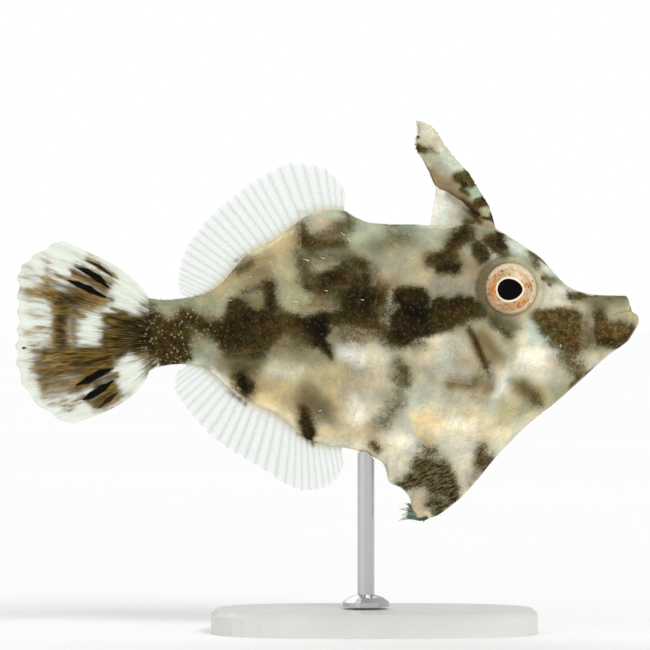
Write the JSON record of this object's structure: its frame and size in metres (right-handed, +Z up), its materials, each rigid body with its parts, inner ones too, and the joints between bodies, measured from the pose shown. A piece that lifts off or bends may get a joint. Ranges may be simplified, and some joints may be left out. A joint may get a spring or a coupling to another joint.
{
  "type": "filefish model",
  "caption": "Life-size still model of a small reef filefish, its back spine raised and its fins spread, held above a plain base by one rod.",
  "frame": {"origin": "on the floor under the middle of the fish's length, at the centre of the bounding box's bottom face", "axes": "+X from the tail to the mouth, +Y to the fish's left, +Z up"},
  "size_m": [0.0803, 0.026, 0.0658],
  "materials": {
    "skin": "mottled brown, grey-green and cream skin with a soft sheen",
    "clear_fin": "translucent whitish membrane with fine rays",
    "tail_fin": "brown rays with black streaks and pale blue windows",
    "spine": "pale skin with brown saddles over a stout spine",
    "scute": "bluish-white bone",
    "eye": "wet and glossy, pinkish cream iris with a black pupil",
    "stand_base": "satin off-white",
    "stand_rod": "brushed"
  },
  "bodies": {
    "root": {"head": "skin", "upper_jaw": "skin", "lower_jaw": "skin", "torso": "skin", "tail_stem": "skin", "pelvic_flap": "skin", "pelvic_scute": "scute", "dorsal_spine": "spine", "spine_membrane": "clear_fin", "dorsal_fin": "clear_fin", "anal_fin": "clear_fin", "caudal_fin": "tail_fin", "pectoral_fin_left": "clear_fin", "pectoral_fin_right": "clear_fin", "eye_left": "eye", "eye_right": "eye", "stand_base": "stand_base", "stand_rod": "stand_rod"}
  },
  "joints": []
}
